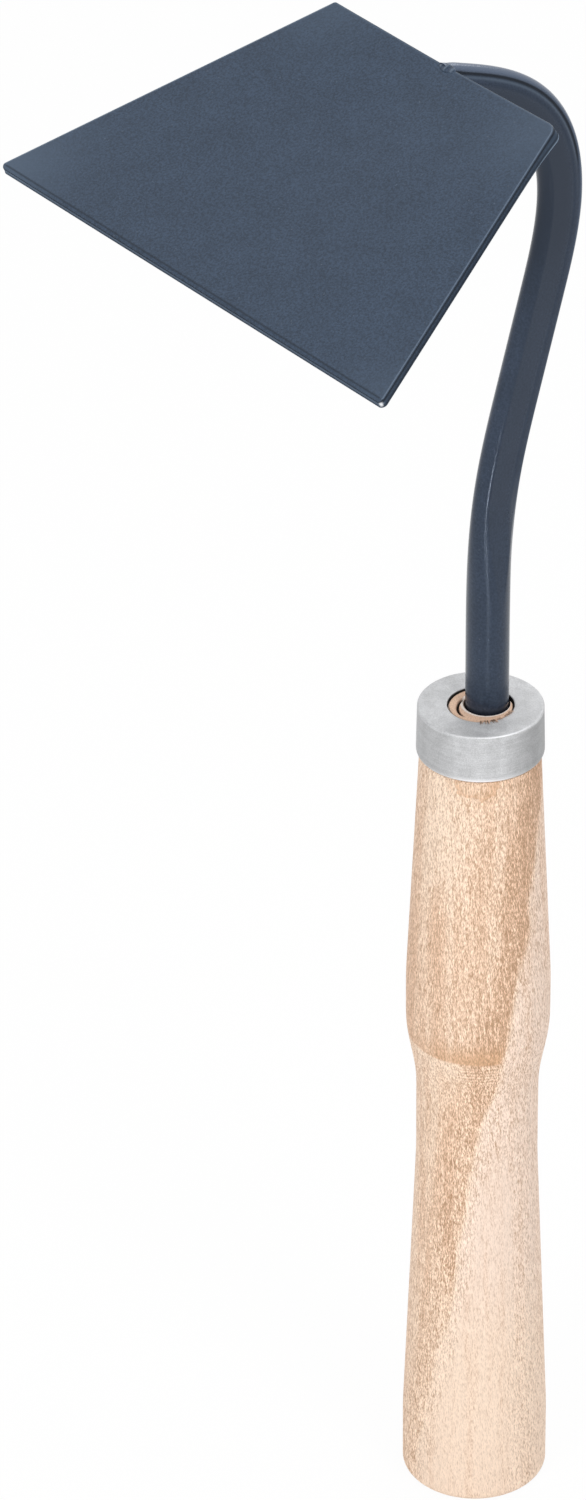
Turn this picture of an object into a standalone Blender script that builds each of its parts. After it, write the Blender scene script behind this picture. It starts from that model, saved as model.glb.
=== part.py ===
"""Hand hoe: a steel blade welded to a bent neck, whose tang is held in a turned wooden handle with a ferrule.

Metres, +Z up along the handle. The origin is the middle of the handle's butt face. The blade points towards
-Y, and the hoe is the same on both sides of the plane X = 0.
"""
import math

import bmesh
import bpy
import numpy as np
from mathutils import Matrix, Vector

CLEARANCE = 0.0003          # space kept between pieces that touch

# Handle: heights are measured up from the butt
HANDLE_LENGTH = 0.1996      # butt to the shoulder that the ferrule sits on
BUTT_RADIUS = 0.01696
BUTT_ROUNDING = 0.0018
FLARE_START = 0.0173        # the flare towards the butt ends here
WAIST_RADIUS = 0.01403
WAIST_BOTTOM = 0.0908
WAIST_TOP = 0.1103
COLLAR_RADIUS = 0.01649     # the swelling that the hand stops against
COLLAR_BOTTOM = 0.1291
COLLAR_TOP = 0.1400
SHOULDER_RADIUS = 0.01365

# Ferrule: a pressed cap with a hole for the neck
FERRULE_HEIGHT = 0.0119
FERRULE_TOP_RADIUS = 0.0142
FERRULE_BOTTOM_RADIUS = 0.0144
FERRULE_ROUNDING = 0.0009
FERRULE_WALL = 0.0012
FERRULE_HOLE_RADIUS = 0.0075

# Neck and tang: one bar, round at the bottom and pressed flat at the sides higher up
BAR_RADIUS = 0.0049
TANG_OFFSET = 0.00178       # the bar enters a little behind the handle's middle
TANG_STRAIGHT = 0.02        # full size below the ferrule's top
TANG_TAPER = 0.055
TANG_TIP_RADIUS = 0.0026
BORE_END_SPACE = 0.003
FLAT_WIDTH = 0.0053         # across the pressed sides
FLAT_DEPTH = 0.0111         # front to back where the sides are pressed
FLAT_CROWN = 0.0016         # how far the rounded back stands above the flat sides' edges
PRESS_START = 0.025         # lengths from here on are along the bar, from the ferrule's top
PRESS_END = 0.053
LEAN_START = 0.0175         # first bend: the bar leans back
LEAN_EASE_IN = 0.031
LEAN_HOLD = 0.010
LEAN_EASE_OUT = 0.019
LEAN_ANGLE = math.radians(16.35)
ARCH_START = 0.100          # second bend: the bar arches forward over the blade
ARCH_EASE_IN = 0.037
ARCH_HOLD = 0.012
ARCH_EASE_OUT = 0.024
ARCH_ANGLE = math.radians(86.2)
SEAT_LENGTH = 0.1776        # where the bar's back meets the blade's rear edge

# Blade: a flat trapezoid plate
BLADE_REAR_WIDTH = 0.0742
BLADE_EDGE_WIDTH = 0.1314   # along the cutting edge
BLADE_DEPTH = 0.0743
BLADE_THICKNESS = 0.0020
BLADE_TILT = math.radians(22.8)
BLADE_SET_DOWN = 0.0002     # how far the blade's face lies below the bar's back at its rear edge
REAR_CORNER_RADIUS = 0.0022
EDGE_CORNER_RADIUS = 0.0014
EDGE_BEVEL_WIDTH = 0.0008
EDGE_BEVEL_DROP = 0.0003

# Weld: a fillet round the neck's foot, under the blade
WELD_LEG = 0.0034
WELD_CONVEXITY = 0.72       # 0.5 is a flat fillet, more is a fuller one

# How finely the round shapes are divided
TURN_STEPS = 64
ARC_STEPS = 6
BACK_STEPS = 8
SIDE_STEPS = 3
STATION_SPACING = 0.0028


def clear_scene():
    for item in list(bpy.data.objects):
        bpy.data.objects.remove(item, do_unlink=True)


def make_material(name, color, roughness, metallic):
    material = bpy.data.materials.new(name)
    material.use_nodes = True
    shader = material.node_tree.nodes["Principled BSDF"]
    shader.inputs["Base Color"].default_value = (*color, 1.0)
    shader.inputs["Roughness"].default_value = roughness
    shader.inputs["Metallic"].default_value = metallic
    material.diffuse_color = (*color, 1.0)
    return material


def add_object(name, mesh_builder, material=None, sharp_degrees=35.0):
    """Turns a bmesh into a named object with smooth round faces."""
    bmesh.ops.recalc_face_normals(mesh_builder, faces=mesh_builder.faces)
    mesh = bpy.data.meshes.new(name)
    mesh_builder.to_mesh(mesh)
    mesh_builder.free()
    mesh.shade_smooth()
    mesh.set_sharp_from_angle(angle=math.radians(sharp_degrees))
    if material:
        mesh.materials.append(material)
    item = bpy.data.objects.new(name, mesh)
    bpy.context.collection.objects.link(item)
    return item


def make_cutter(item):
    item.hide_render = True
    item.display_type = "WIRE"


def cut_with(item, cutter):
    make_cutter(cutter)
    modifier = item.modifiers.new("cut", "BOOLEAN")
    modifier.operation = "DIFFERENCE"
    modifier.solver = "EXACT"
    modifier.object = cutter


def quarter_arc(centre, radius, start, end, steps=ARC_STEPS):
    """Points (radius, height) on an arc about a centre, from one angle to another."""
    angles = np.linspace(start, end, steps + 1)
    return [(centre[0] + radius * math.cos(a), centre[1] + radius * math.sin(a)) for a in angles]


def turned(outline):
    """Turns an outline of (radius, height) points about the Z axis into a closed body."""
    builder = bmesh.new()
    points = [builder.verts.new((radius, 0.0, height)) for radius, height in outline]
    edges = [builder.edges.new(pair) for pair in zip(points, points[1:])]
    bmesh.ops.spin(builder, geom=points + edges, cent=(0, 0, 0), axis=(0, 0, 1),
                   angle=2 * math.pi, steps=TURN_STEPS, use_merge=False, use_duplicate=False)
    bmesh.ops.remove_doubles(builder, verts=builder.verts, dist=1e-6)
    return builder


def loft(rings):
    """A closed body through rings of as many points each, with flat ends."""
    builder = bmesh.new()
    loops = [[builder.verts.new(point) for point in ring] for ring in rings]
    count = len(loops[0])
    for low, high in zip(loops, loops[1:]):
        for i in range(count):
            j = (i + 1) % count
            builder.faces.new((low[i], low[j], high[j], high[i]))
    builder.faces.new(list(reversed(loops[0])))
    builder.faces.new(loops[-1])
    return builder


def eased(low, high, value):
    """Rises smoothly from 0 at low to 1 at high."""
    t = np.clip((np.asarray(value, float) - low) / (high - low), 0.0, 1.0)
    return t * t * (3.0 - 2.0 * t)


def handle_outline():
    """Butt, flare, waist, collar, taper, shoulder, tenon and the short boss that fills the ferrule's hole."""
    shoulder = HANDLE_LENGTH - CLEARANCE
    seat = HANDLE_LENGTH + FERRULE_HEIGHT
    tenon_radius = FERRULE_TOP_RADIUS - FERRULE_WALL - CLEARANCE
    tenon_top = seat - FERRULE_WALL - CLEARANCE
    boss_radius = FERRULE_HOLE_RADIUS - CLEARANCE
    outline = [(0.0, 0.0)]
    outline += quarter_arc((BUTT_RADIUS - BUTT_ROUNDING, BUTT_ROUNDING), BUTT_ROUNDING, -math.pi / 2, 0.0)
    flare = np.linspace(FLARE_START, WAIST_BOTTOM, 9)
    drop = BUTT_RADIUS - WAIST_RADIUS
    outline += [(BUTT_RADIUS - drop * ((h - FLARE_START) / (WAIST_BOTTOM - FLARE_START)), h) for h in flare]
    swell = np.linspace(WAIST_TOP, COLLAR_BOTTOM, 11)
    rise = COLLAR_RADIUS - WAIST_RADIUS
    outline += [(WAIST_RADIUS + rise * float(eased(WAIST_TOP, COLLAR_BOTTOM, h)), h) for h in swell]
    outline += [(COLLAR_RADIUS, COLLAR_TOP), (SHOULDER_RADIUS, shoulder), (tenon_radius, shoulder)]
    outline += [(tenon_radius, tenon_top), (boss_radius, tenon_top), (boss_radius, seat - CLEARANCE)]
    outline += [(0.0, seat - CLEARANCE)]
    return outline


def build_handle(material):
    handle = add_object("handle", turned(handle_outline()), material)
    bore_top = HANDLE_LENGTH + 2 * FERRULE_HEIGHT
    top = HANDLE_LENGTH + FERRULE_HEIGHT
    wide = BAR_RADIUS + CLEARANCE
    narrow = TANG_TIP_RADIUS + CLEARANCE
    tip = top - TANG_STRAIGHT - TANG_TAPER
    outline = [(0.0, tip - BORE_END_SPACE), (narrow, tip - BORE_END_SPACE), (narrow, tip)]
    outline += [(wide, top - TANG_STRAIGHT), (wide, bore_top), (0.0, bore_top)]
    bore = add_object("tang_bore_cutter", turned(outline))
    bore.location = (0.0, TANG_OFFSET, 0.0)
    cut_with(handle, bore)


def build_ferrule(material):
    """A cap: skirt, rounded rim, flat top with the hole, and the inside a wall's thickness in."""
    top = FERRULE_HEIGHT
    rim = (FERRULE_TOP_RADIUS - FERRULE_ROUNDING, top - FERRULE_ROUNDING)
    inside = FERRULE_TOP_RADIUS - FERRULE_WALL
    lip = FERRULE_WALL / 3
    outline = quarter_arc((FERRULE_BOTTOM_RADIUS - lip, lip), lip, -math.pi / 2, 0.0, 3)
    outline += quarter_arc(rim, FERRULE_ROUNDING, 0.0, math.pi / 2)
    outline += [(FERRULE_HOLE_RADIUS, top), (FERRULE_HOLE_RADIUS, top - FERRULE_WALL)]
    outline += [(inside, top - FERRULE_WALL), (inside, 0.0)]
    outline.append(outline[0])
    ferrule = add_object("ferrule", turned(outline), material)
    ferrule.location = (0.0, 0.0, HANDLE_LENGTH)


def curvature(length, start, ease_in, hold, ease_out, angle):
    """Bend per metre: rises evenly, holds and falls evenly, and turns the bar by angle in all."""
    peak = angle / (ease_in / 2 + hold + ease_out / 2)
    marks = np.cumsum([start, ease_in, hold, ease_out])
    return np.interp(length, marks, [0.0, peak, peak, 0.0], left=0.0, right=0.0)


def neck_path():
    """Length along the bar from the ferrule's top, with its Y, Z and lean there. The lean is the sum of the
    bends so far, and the place is the sum of small steps along it."""
    step = 0.0001
    length = np.arange(0.0, 1.3 * SEAT_LENGTH, step)
    bend = curvature(length, LEAN_START, LEAN_EASE_IN, LEAN_HOLD, LEAN_EASE_OUT, LEAN_ANGLE)
    bend = bend - curvature(length, ARCH_START, ARCH_EASE_IN, ARCH_HOLD, ARCH_EASE_OUT, ARCH_ANGLE)
    lean = np.concatenate([[0.0], np.cumsum((bend[1:] + bend[:-1]) / 2 * step)])
    middle = (lean[1:] + lean[:-1]) / 2
    y = TANG_OFFSET + np.concatenate([[0.0], np.cumsum(np.sin(middle) * step)])
    z = HANDLE_LENGTH + FERRULE_HEIGHT + np.concatenate([[0.0], np.cumsum(np.cos(middle) * step)])
    return length, y, z, lean


def bar_section(length):
    """Points (across, back) of the bar's section: an oval whose two sides are pressed flat."""
    pressed = float(eased(PRESS_START, PRESS_END, length))
    half_depth = BAR_RADIUS + (FLAT_DEPTH / 2 - BAR_RADIUS) * pressed
    flat_half = FLAT_DEPTH / 2 - FLAT_CROWN
    oval_half = FLAT_WIDTH / 2 / math.sqrt(1.0 - (flat_half / (FLAT_DEPTH / 2)) ** 2)
    half_width = BAR_RADIUS + (oval_half - BAR_RADIUS) * pressed
    side = BAR_RADIUS + (FLAT_WIDTH / 2 - BAR_RADIUS) * pressed
    corner = max(math.acos(min(side / half_width, 1.0)), math.radians(15.0))
    back = np.linspace(corner, math.pi - corner, BACK_STEPS + 1)[:-1]
    flat = np.linspace(math.pi - corner, math.pi + corner, SIDE_STEPS + 1)[:-1]
    angles = np.concatenate([back, flat, back + math.pi, flat + math.pi])
    across = np.clip(half_width * np.cos(angles), -side, side)
    return across, half_depth * np.sin(angles)


def bar_ring(y, z, lean, across, back):
    return [Vector((a, y + b * math.cos(lean), z - b * math.sin(lean))) for a, b in zip(across, back)]


def blade_frame(path):
    """Places the blade: its face's rear edge lies just under the bar's back, at the seat length."""
    length, y, z, lean = path
    at = [float(np.interp(SEAT_LENGTH, length, values)) for values in (y, z, lean)]
    rear = Vector((0.0, at[0] + FLAT_DEPTH / 2 * math.cos(at[2]), at[1] - FLAT_DEPTH / 2 * math.sin(at[2])))
    turn = Matrix.Rotation(BLADE_TILT, 4, "X")
    return Matrix.Translation(rear) @ turn @ Matrix.Translation((0.0, 0.0, -BLADE_SET_DOWN))


def build_neck(material, path, frame):
    length, y, z, lean = path
    top = HANDLE_LENGTH + FERRULE_HEIGHT
    across, back = bar_section(0.0)
    rings = []
    for below, radius in ((TANG_STRAIGHT + TANG_TAPER, TANG_TIP_RADIUS), (TANG_STRAIGHT, BAR_RADIUS)):
        share = radius / BAR_RADIUS
        rings.append(bar_ring(TANG_OFFSET, top - below, 0.0, across * share, back * share))
    beyond = SEAT_LENGTH + FLAT_DEPTH + BLADE_THICKNESS
    for at in np.linspace(0.0, beyond, int(round(beyond / STATION_SPACING)) + 1):
        place = [float(np.interp(at, length, values)) for values in (y, z, lean)]
        rings.append(bar_ring(*place, *bar_section(at)))
    neck = add_object("neck", loft(rings), material)
    room = 3 * FLAT_DEPTH
    builder = bmesh.new()
    bmesh.ops.create_cube(builder, size=1.0)
    low = Vector((-room, -2 * room, -BLADE_THICKNESS - CLEARANCE))
    high = Vector((room, CLEARANCE, room))
    shape = Matrix.Translation((low + high) / 2) @ Matrix.Diagonal((*(high - low), 1.0))
    bmesh.ops.transform(builder, matrix=frame @ shape, verts=builder.verts)
    cut_with(neck, add_object("blade_room_cutter", builder))


def rounded_trapezoid(inset):
    """The plate's outline, from the left rear corner round, with the cutting edge moved back by inset."""
    slope = (BLADE_EDGE_WIDTH - BLADE_REAR_WIDTH) / 2 / BLADE_DEPTH
    front = BLADE_DEPTH - inset
    edge_half = BLADE_REAR_WIDTH / 2 + slope * front
    rear_half = BLADE_REAR_WIDTH / 2
    corners = [Vector((-rear_half, 0.0)), Vector((-edge_half, -front))]
    corners += [Vector((edge_half, -front)), Vector((rear_half, 0.0))]
    radii = [REAR_CORNER_RADIUS, EDGE_CORNER_RADIUS, EDGE_CORNER_RADIUS, REAR_CORNER_RADIUS]
    points = []
    for i, (corner, radius) in enumerate(zip(corners, radii)):
        before = (corners[i - 1] - corner).normalized()
        after = (corners[(i + 1) % 4] - corner).normalized()
        half_angle = before.angle(after) / 2
        centre = corner + (before + after).normalized() * (radius / math.sin(half_angle))
        start = corner + before * (radius / math.tan(half_angle)) - centre
        turn = math.pi - 2 * half_angle
        for step in range(ARC_STEPS + 1):
            points.append(centre + Matrix.Rotation(turn * step / ARC_STEPS, 2) @ start)
    return points


def build_blade(material, frame):
    levels = [(-BLADE_THICKNESS, 0.0), (-EDGE_BEVEL_DROP, 0.0), (0.0, EDGE_BEVEL_WIDTH)]
    rings = [[(p.x, p.y, height) for p in rounded_trapezoid(inset)] for height, inset in levels]
    blade = add_object("blade", loft(rings), material, 12.0)
    blade.location = frame.to_translation()
    blade.rotation_euler = (BLADE_TILT, 0.0, 0.0)


def build_weld(material, path, frame):
    """A bead that runs down one side of the neck's foot, round its front and back along the other side.

    The bead is laid out on the blade's under face as (across, forward, drop), and each drop also slides it
    back along the neck, so the bead keeps to the neck's surface."""
    length, y, z, lean = path
    lean_there = float(np.interp(SEAT_LENGTH, length, lean))
    along = Vector((0.0, math.sin(lean_there), math.cos(lean_there)))
    turn = frame.to_3x3()
    outward = turn @ Vector((0.0, 0.0, 1.0))
    forward = turn @ Vector((0.0, -1.0, 0.0))
    down = -along / along.dot(outward)
    under = frame.to_translation() - outward * BLADE_THICKNESS
    slant = along.dot(outward)
    foot_front = FLAT_DEPTH / slant + down.dot(forward) * (BLADE_THICKNESS + BLADE_SET_DOWN)
    nose = FLAT_CROWN / slant
    half = FLAT_WIDTH / 2
    sides = np.linspace(CLEARANCE + BLADE_THICKNESS / 2, foot_front - nose, 9)
    arc = np.linspace(0.0, math.pi, 13)
    track = [((half, s), (1.0, 0.0)) for s in sides[:-1]]
    for a in arc:
        normal = Vector((math.cos(a) / half, math.sin(a) / nose)).normalized()
        track.append(((half * math.cos(a), foot_front - nose + nose * math.sin(a)), tuple(normal)))
    track += [((-half, s), (-1.0, 0.0)) for s in reversed(sides[:-1])]
    angles = np.linspace(0.0, math.pi / 2, 5)
    bulge = [(WELD_LEG * math.cos(a), WELD_LEG * math.sin(a)) for a in angles]
    pull = WELD_CONVEXITY * math.sqrt(2.0)
    section = [(CLEARANCE, CLEARANCE), (WELD_LEG, CLEARANCE)]
    section += [(max(p[0] * pull, CLEARANCE), max(p[1] * pull, CLEARANCE)) for p in bulge[1:-1]]
    section += [(CLEARANCE, WELD_LEG)]
    rings = []
    for place, normal in track:
        ring = []
        for out, drop in section:
            across = place[0] + normal[0] * out
            ahead = place[1] + normal[1] * out
            ring.append(under + Vector((across, 0.0, 0.0)) + forward * ahead + down * drop)
        rings.append(ring)
    add_object("weld_bead", loft(rings), material)


def main():
    clear_scene()
    wood = make_material("beech", (0.80, 0.60, 0.45), 0.6, 0.0)
    zinc = make_material("zinc", (0.58, 0.59, 0.60), 0.35, 1.0)
    paint = make_material("graphite_paint", (0.070, 0.088, 0.122), 0.45, 0.0)
    path = neck_path()
    frame = blade_frame(path)
    build_handle(wood)
    build_ferrule(zinc)
    build_neck(paint.copy(), path, frame)
    build_blade(paint, frame)
    build_weld(paint.copy(), path, frame)


main()
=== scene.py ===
"""Hand hoe: a trapezoid steel blade welded to a bent steel neck, in a turned wooden handle with a ferrule.

Metres, +Z up along the handle from the middle of its butt face, -Y the way the blade points.
"""
import math

import bpy
import numpy as np
from mathutils import Matrix, Vector


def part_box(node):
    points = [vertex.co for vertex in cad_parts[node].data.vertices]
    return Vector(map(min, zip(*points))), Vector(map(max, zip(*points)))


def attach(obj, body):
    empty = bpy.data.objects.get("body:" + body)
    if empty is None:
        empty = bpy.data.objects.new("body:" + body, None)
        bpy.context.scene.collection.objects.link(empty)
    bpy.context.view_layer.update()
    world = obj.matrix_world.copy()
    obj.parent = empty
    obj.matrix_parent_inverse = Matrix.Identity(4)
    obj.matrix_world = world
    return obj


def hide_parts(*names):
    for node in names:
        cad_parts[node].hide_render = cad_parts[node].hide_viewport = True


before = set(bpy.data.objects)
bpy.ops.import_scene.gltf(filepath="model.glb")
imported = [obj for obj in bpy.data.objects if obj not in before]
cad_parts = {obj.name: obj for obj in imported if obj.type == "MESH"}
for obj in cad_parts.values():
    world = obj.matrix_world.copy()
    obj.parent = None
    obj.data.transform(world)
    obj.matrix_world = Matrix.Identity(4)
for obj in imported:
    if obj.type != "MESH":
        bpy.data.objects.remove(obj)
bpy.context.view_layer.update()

bl_info = {
    "name": "Hand hoe",
    "version": (1, 0, 0),
    "blender": (4, 5, 0),
    "location": "View3D > Sidebar > Hoe",
    "description": "Makes a short handled garden hoe: handle, ferrule, neck, blade and weld",
    "category": "Object",
}

FERRULE_LOW, FERRULE_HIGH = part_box("ferrule")

# The ferrule's two ends, and the space between pieces that touch
SHOULDER_HEIGHT = FERRULE_LOW.z
TOP_HEIGHT = FERRULE_HIGH.z
GAP = 0.0003

# Heights on the handle between which it flares, swells and tapers
FLARE = (0.0173, 0.0908)
SWELLING = (0.1103, 0.1291)
TAPER_START = 0.1400
BUTT_ROUNDING = 0.0018

# The tang inside the handle, measured down from the ferrule's top
TANG_STRAIGHT = 0.020
TANG_TAPER = 0.055
TANG_TIP_RADIUS = 0.0026
BORE_END_SPACE = 0.003

# The boss of end grain round the rod: the radius of its bore, how far it lies under the ferrule's top, and
# how much deeper where it is thin. Its split follows an arc, placed across and away from the camera
BOSS_BORE_RADIUS = 0.0052
BOSS_LOW = 0.00035
BOSS_SUNK = 0.0026
SPLIT_MIDDLE = (0.000746, -0.00082)
SPLIT_RADIUS = 0.005906
SPLIT_DEPTH = 0.0014

# The torn fibres at the ferrule's hole, of which the first are long
FIBRES = 20
LONG_FIBRES = 13

# Bends of the neck: start, even rise, hold, even fall and angle, with lengths from the ferrule's top
LEAN_BEND = (0.0175, 0.031, 0.010, 0.019, math.radians(16.35))
ARCH_BEND = (0.100, 0.037, 0.012, 0.024, math.radians(86.2))
PRESSED = (0.025, 0.053)
SEAT_LENGTH = 0.1776
FLAT_CROWN = 0.0016

# How far the plate's face lies under the neck's crown, how deep the neck's foot reaches into the plate, and
# the plate's corners from the left rear one round
FACE_SUNK = 0.0002
FOOT_INSIDE = 0.0004
CORNER_RADII = (0.0008, 0.0011, 0.0011, 0.0034)
SIDE_STEPS = (44, 76, 44, 44)
CORNER_STEPS = 8

# The camera looks at the ferrule's top from the blade's right, a little from above
VIEW_AZIMUTH = math.radians(52.66)
VIEW_HEIGHT = math.radians(32.25)
VIEW_ROLL = math.radians(-0.446)
VIEW_ACROSS = 0.041742
VIEW_UP = 0.010226
VIEW_DISTANCE = 1.55612
LENS_MM = 168.0
ACROSS = np.array([1.0, 0.0, 0.0])
UP = np.array([0.0, 0.0, 1.0])
SIDEWAYS = np.array([math.cos(VIEW_AZIMUTH), math.sin(VIEW_AZIMUTH), 0.0])
AWAY = np.array([-math.sin(VIEW_AZIMUTH), math.cos(VIEW_AZIMUTH), 0.0])

# The wood's figure: its slanting line, the arc's height, the amber patch's middle, and rings in radians a
# metre
LINE_SLANT = 0.165
LINE_PLACE = 0.0138
ARC_HEIGHT = 0.1247
FERRULE_PATCH = tuple(-SIDEWAYS * 0.0012 - AWAY * 0.0137 + UP * 0.1988)
GROWTH_RINGS = 5200.0
SLOPE_RINGS = 7000.0

# Colours of small marks
WOOD_AMBER = (0.66, 0.40, 0.235)
WOOD_FLECK = (0.50, 0.285, 0.15)
WOOD_RAY = (0.42, 0.21, 0.09)
END_GRAIN = (0.77, 0.53, 0.385)
CUT_RIM = (0.93, 0.83, 0.75)
# Painted shade in the bore, the split and the boss's thin edge, also the dark of most torn fibres
SHADE_AND_FIBRE_DARK = (0.035, 0.022, 0.016)
ZINC_PIT = (0.30, 0.31, 0.32)
# A painted highlight on the ferrule's lip and rim
ZINC_HIGHLIGHT = (0.95, 0.95, 0.97)
# Painted shade in the ferrule's hole
HOLE_SHADE = (0.030, 0.028, 0.028)
PAINT_SPECK = (0.20, 0.23, 0.28)


def length_property(name, description, default):
    """A size in metres."""
    return bpy.props.FloatProperty(name=name, description=description, default=default, unit="LENGTH")


def colour_property(name, description, default):
    """A colour: red, green and blue from 0 to 1."""
    return bpy.props.FloatVectorProperty(
        name=name, description=description, default=default, subtype="COLOR", size=3, min=0.0, max=1.0)


class HoeSizes(bpy.types.PropertyGroup):
    butt_radius: length_property("Butt radius", "Handle's radius at its end", 0.01696)
    waist_radius: length_property("Waist radius", "Handle's radius at its waist", 0.01403)
    collar_radius: length_property("Collar radius", "Radius of the swelling above the waist", 0.01649)
    shoulder_radius: length_property("Shoulder radius", "Handle's radius under the ferrule", 0.01365)
    ferrule_radius: length_property("Ferrule radius", "Ferrule's radius at its rim", 0.0142)
    ferrule_wall: length_property("Ferrule wall", "Thickness of the ferrule's metal", 0.0012)
    hole_radius: length_property("Hole radius", "Radius of the hole in the ferrule's top", 0.0075)
    bar_radius: length_property("Bar radius", "Neck's radius where it enters the handle", 0.0049)
    bar_offset: length_property("Bar offset", "How far behind the handle's middle the bar stands", 0.00178)
    flat_width: length_property("Pressed width", "Neck's width between its pressed sides", 0.0053)
    flat_depth: length_property("Pressed depth", "Neck's depth where it is pressed", 0.0111)
    blade_rear_width: length_property("Blade rear width", "Blade's width at the neck", 0.0742)
    blade_edge_width: length_property("Blade edge width", "Length of the cutting edge", 0.1314)
    blade_depth: length_property("Blade depth", "From the rear edge to the cutting edge", 0.0743)
    blade_thickness: length_property("Blade thickness", "Thickness of the plate", 0.0020)
    blade_tilt: bpy.props.FloatProperty(
        name="Blade tilt", description="How steeply the blade falls towards its cutting edge",
        default=math.radians(22.8), subtype="ANGLE")
    blade_sag: length_property(
        "Blade sag", "How far the plate's middle is pulled down at its rear edge", 0.0007)
    weld_leg: length_property("Weld leg", "Height and width of the weld's fillet", 0.0034)


class HoeColours(bpy.types.PropertyGroup):
    wood_pale: colour_property("Pale wood", "Wood between the growth rings", (0.91, 0.72, 0.565))
    wood_tan: colour_property("Tan wood", "Wood of the darker growth rings", (0.765, 0.52, 0.365))
    wood_brown: colour_property("Brown wood", "Wood beside the slanting growth line", (0.575, 0.36, 0.23))
    wood_pink: colour_property("Pink wood", "Wood of the pinkish zone", (0.905, 0.725, 0.605))
    zinc: colour_property("Zinc", "Ferrule's plating", (0.58, 0.585, 0.595))
    neck_paint: colour_property("Neck paint", "Paint on the neck", (0.030, 0.042, 0.067))
    blade_paint: colour_property("Blade paint", "Paint on the blade", (0.029, 0.045, 0.073))
    weld_paint: colour_property("Weld paint", "Paint on the weld", (0.032, 0.047, 0.074))


def sizes():
    return bpy.context.scene.hoe_sizes


def colours():
    return bpy.context.scene.hoe_colours


def eased(low, high, value):
    """Rises smoothly from 0 at low to 1 at high: 3 t squared less 2 t cubed."""
    t = np.clip((np.asarray(value, float) - low) / (high - low), 0.0, 1.0)
    return t * t * (3.0 - 2.0 * t)


def bell(value, middle, width):
    """1 at the middle and less on both sides: e to the power of minus the squared distance in widths."""
    return np.exp(-((value - middle) / width) ** 2)


def arc(centre, radius, start, end, steps):
    """Points (radius, height) on an arc: centre plus radius times the cosine and sine of the angle."""
    angles = np.linspace(start, end, steps + 1)
    return np.stack([centre[0] + radius * np.cos(angles), centre[1] + radius * np.sin(angles)], axis=1)


def line(start, end, steps):
    """Points from start to end at even steps."""
    return np.linspace(start, end, steps + 1)


def turned(outline, columns):
    """Rings about the axis, one for each (radius, height) of the outline."""
    outline = np.asarray(outline)
    angles = np.arange(columns) * 2.0 * math.pi / columns
    rings = np.empty((len(outline), columns, 3))
    rings[:, :, 0] = outline[:, :1] * np.cos(angles)
    rings[:, :, 1] = outline[:, :1] * np.sin(angles)
    rings[:, :, 2] = outline[:, 1:]
    return rings


def smoothed(values, passes):
    """Each value becomes a quarter of each neighbour and half of itself, round a closed ring (last axis)."""
    for _ in range(passes):
        values = 0.25 * np.roll(values, 1, -1) + 0.5 * values + 0.25 * np.roll(values, -1, -1)
    return values


def shell_faces(rows, columns, closed_rows=False):
    """Quads between neighbouring rings of a grid. Closed rows join the last ring to the first."""
    row = np.arange(rows if closed_rows else rows - 1)[:, None]
    column = np.arange(columns)[None, :]
    after_row = (row + 1) % rows
    after_column = (column + 1) % columns
    quads = np.stack(np.broadcast_arrays(
        row * columns + column, row * columns + after_column,
        after_row * columns + after_column, after_row * columns + column), axis=-1)
    return quads.reshape(-1, 4)


def capped_shell(grid, last_pole=None):
    """A closed shell from a grid of rings (rings, points, 3): the first and the last ring get a pole each.

    A pole is the mean of its ring's points, unless one is given, joined to the ring by triangles."""
    rows, columns = grid.shape[:2]
    last_pole = grid[-1].mean(0) if last_pole is None else last_pole
    points = np.concatenate([grid.reshape(-1, 3), grid[0].mean(0)[None], last_pole[None]])
    column = np.arange(columns)
    after = (column + 1) % columns
    last = (rows - 1) * columns
    first_fan = np.stack([after, column, np.full(columns, rows * columns)], axis=1)
    last_fan = np.stack([last + column, last + after, np.full(columns, rows * columns + 1)], axis=1)
    return points, shell_faces(rows, columns), np.concatenate([first_fan, last_fan])


def with_poles(field):
    """A field over the rings, and its mean on the first and on the last ring for the two poles."""
    return np.concatenate([field.ravel(), [field[0].mean(), field[-1].mean()]])


def turned_out(points, quads, fans):
    """Reverses every face where the shell's signed volume, the sum of corner products, is below zero."""
    triangles = np.concatenate([quads[:, :3], quads[:, [0, 2, 3]], fans])
    a, b, c = (points[triangles[:, i]] for i in range(3))
    if np.einsum("ij,ij->i", a, np.cross(b, c)).sum() < 0.0:
        return quads[:, ::-1], fans[:, ::-1]
    return quads, fans


def add_piece(name, shells, fields, sharp_degrees):
    """Makes one mesh object from closed shells (points, quads, triangles), with a float field per point."""
    points = []
    faces = []
    count = 0
    for shell_points, quads, fans in shells:
        quads, fans = turned_out(shell_points, quads, fans)
        faces += (quads + count).tolist() + (fans + count).tolist()
        points.append(shell_points)
        count += len(shell_points)
    mesh = bpy.data.meshes.new(name)
    mesh.from_pydata(np.concatenate(points).tolist(), [], faces)
    mesh.shade_smooth()
    mesh.set_sharp_from_angle(angle=math.radians(sharp_degrees))
    for field, values in fields.items():
        attribute = mesh.attributes.new(field, "FLOAT", "POINT")
        attribute.data.foreach_set("value", np.asarray(values, np.float32))
    mesh.validate()
    piece = bpy.data.objects.new(name, mesh)
    bpy.context.scene.collection.objects.link(piece)
    return piece


def join(tree, value, socket):
    """Links a socket or a Number to an input, or writes a constant into the input."""
    value = getattr(value, "socket", value)
    if isinstance(value, bpy.types.NodeSocket):
        tree.links.new(value, socket)
    else:
        socket.default_value = value


def add_node(tree, kind, inputs, **settings):
    """Adds a shader node with its settings, and gives its inputs values by their name or number."""
    node = tree.nodes.new("ShaderNode" + kind)
    for name, value in settings.items():
        setattr(node, name, value)
    for key, value in inputs.items():
        join(tree, value, node.inputs[key])
    return node


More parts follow.
